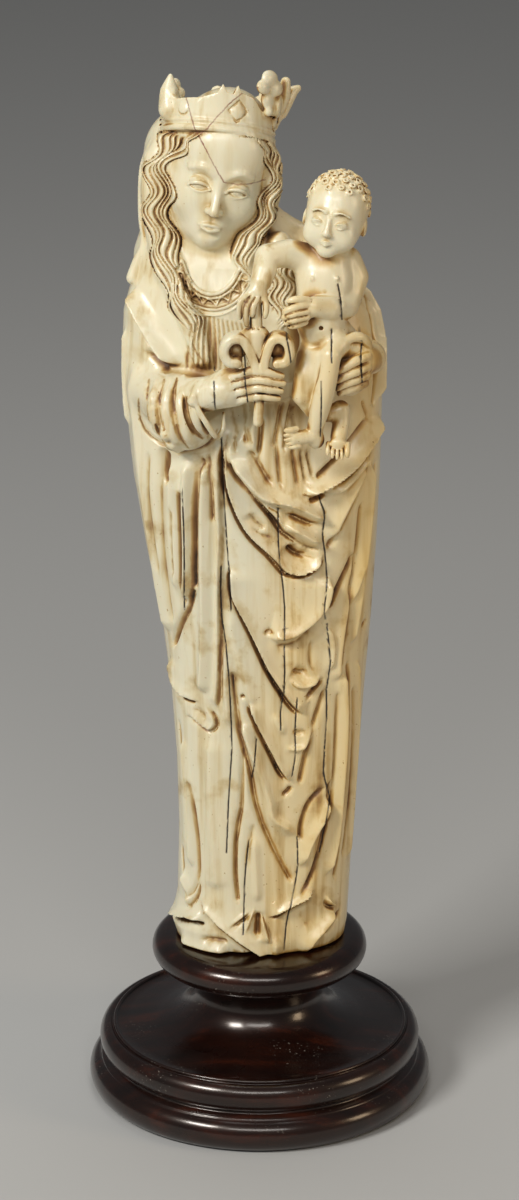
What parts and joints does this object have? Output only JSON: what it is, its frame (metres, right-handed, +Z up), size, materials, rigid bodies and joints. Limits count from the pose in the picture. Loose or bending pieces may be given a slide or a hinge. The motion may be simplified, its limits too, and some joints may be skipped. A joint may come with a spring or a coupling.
{
  "type": "carved statuette on turned stand",
  "caption": "Carved statuette of a crowned, robed woman holding a child and a lily, resting on a round turned wood stand.",
  "frame": {"origin": "centre of the stand's underside, on the surface that it stands on", "axes": "+Z up along the stand's turning axis, -Y towards the front that the faces look to, +X to the side the child is on"},
  "size_m": [0.0934, 0.0934, 0.2859],
  "materials": {
    "ivory": "polished aged ivory, cream with brown in the recesses, dark age cracks",
    "dark_wood": "very dark brown polished turned wood, satin gloss"
  },
  "bodies": {
    "root": {"ivory_figure": "ivory", "turned_stand": "dark_wood"}
  },
  "joints": []
}
